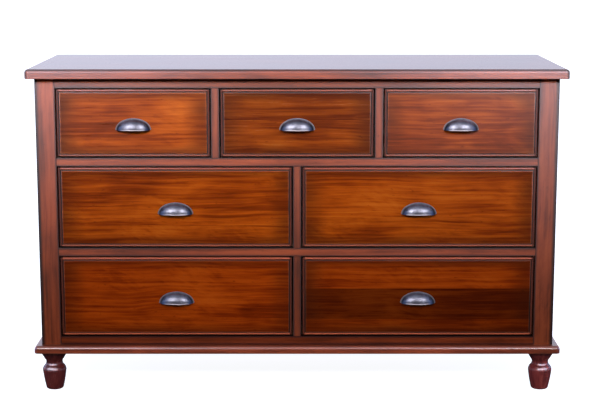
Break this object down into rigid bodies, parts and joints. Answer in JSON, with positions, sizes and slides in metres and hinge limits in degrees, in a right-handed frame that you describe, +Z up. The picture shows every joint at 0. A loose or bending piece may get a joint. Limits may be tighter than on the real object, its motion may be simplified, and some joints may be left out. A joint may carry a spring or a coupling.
{
  "type": "dresser",
  "caption": "Wide wooden dresser: inset beaded drawers with cup pulls in a face frame, overhanging top, base moulding and turned feet; the drawers slide out.",
  "frame": {"origin": "on the floor, under the middle of the dresser's bounding box", "axes": "+X to the dresser's right as one faces it, +Y to its back, +Z up; the drawers open along -Y"},
  "size_m": [1.524, 0.559, 0.935],
  "materials": {
    "stained_wood": "satin lacquer over a reddish brown stain",
    "plain_wood": "planed pale hardwood with a thin clear seal",
    "plywood": "plain plywood, unfinished",
    "pewter": "dark aged pewter, rubbed lighter on the edges",
    "steel": "zinc plated"
  },
  "bodies": {
    "case": {"top_panel": "stained_wood", "left_stile": "stained_wood", "right_stile": "stained_wood", "top_rail": "stained_wood", "upper_rail": "stained_wood", "lower_rail": "stained_wood", "bottom_rail": "stained_wood", "upper_left_muntin": "stained_wood", "upper_right_muntin": "stained_wood", "middle_muntin": "stained_wood", "lower_muntin": "stained_wood", "left_side_panel": "stained_wood", "right_side_panel": "stained_wood", "back_panel": "plywood", "back_rails": "plain_wood", "back_panel_screws": "steel", "bottom_panel": "plywood", "drawer_runners": "plain_wood", "drawer_guides": "plain_wood", "drawer_kickers": "plain_wood", "drawer_stops": "plain_wood", "top_screws": "steel", "base_front_moulding": "stained_wood", "base_left_moulding": "stained_wood", "base_right_moulding": "stained_wood", "base_back_rail": "plain_wood", "front_left_foot": "stained_wood", "front_right_foot": "stained_wood", "rear_left_foot": "stained_wood", "rear_right_foot": "stained_wood", "foot_bolts": "steel"},
    "upper_left_drawer": {"upper_left_drawer_front": "stained_wood", "upper_left_drawer_box": "plain_wood", "upper_left_drawer_pull": "pewter", "upper_left_drawer_pull_screws": "steel"},
    "upper_centre_drawer": {"upper_centre_drawer_front": "stained_wood", "upper_centre_drawer_box": "plain_wood", "upper_centre_drawer_pull": "pewter", "upper_centre_drawer_pull_screws": "steel"},
    "upper_right_drawer": {"upper_right_drawer_front": "stained_wood", "upper_right_drawer_box": "plain_wood", "upper_right_drawer_pull": "pewter", "upper_right_drawer_pull_screws": "steel"},
    "middle_left_drawer": {"middle_left_drawer_front": "stained_wood", "middle_left_drawer_box": "plain_wood", "middle_left_drawer_pull": "pewter", "middle_left_drawer_pull_screws": "steel"},
    "middle_right_drawer": {"middle_right_drawer_front": "stained_wood", "middle_right_drawer_box": "plain_wood", "middle_right_drawer_pull": "pewter", "middle_right_drawer_pull_screws": "steel"},
    "lower_left_drawer": {"lower_left_drawer_front": "stained_wood", "lower_left_drawer_box": "plain_wood", "lower_left_drawer_pull": "pewter", "lower_left_drawer_pull_screws": "steel"},
    "lower_right_drawer": {"lower_right_drawer_front": "stained_wood", "lower_right_drawer_box": "plain_wood", "lower_right_drawer_pull": "pewter", "lower_right_drawer_pull_screws": "steel"}
  },
  "joints": [
    {"name": "upper_left_drawer_slide", "type": "slide", "parent": "case", "child": "upper_left_drawer", "axis": [0, -1, 0], "range_m": [0, 0.38]},
    {"name": "upper_centre_drawer_slide", "type": "slide", "parent": "case", "child": "upper_centre_drawer", "axis": [0, -1, 0], "range_m": [0, 0.38]},
    {"name": "upper_right_drawer_slide", "type": "slide", "parent": "case", "child": "upper_right_drawer", "axis": [0, -1, 0], "range_m": [0, 0.38]},
    {"name": "middle_left_drawer_slide", "type": "slide", "parent": "case", "child": "middle_left_drawer", "axis": [0, -1, 0], "range_m": [0, 0.38]},
    {"name": "middle_right_drawer_slide", "type": "slide", "parent": "case", "child": "middle_right_drawer", "axis": [0, -1, 0], "range_m": [0, 0.38]},
    {"name": "lower_left_drawer_slide", "type": "slide", "parent": "case", "child": "lower_left_drawer", "axis": [0, -1, 0], "range_m": [0, 0.38]},
    {"name": "lower_right_drawer_slide", "type": "slide", "parent": "case", "child": "lower_right_drawer", "axis": [0, -1, 0], "range_m": [0, 0.38]}
  ]
}
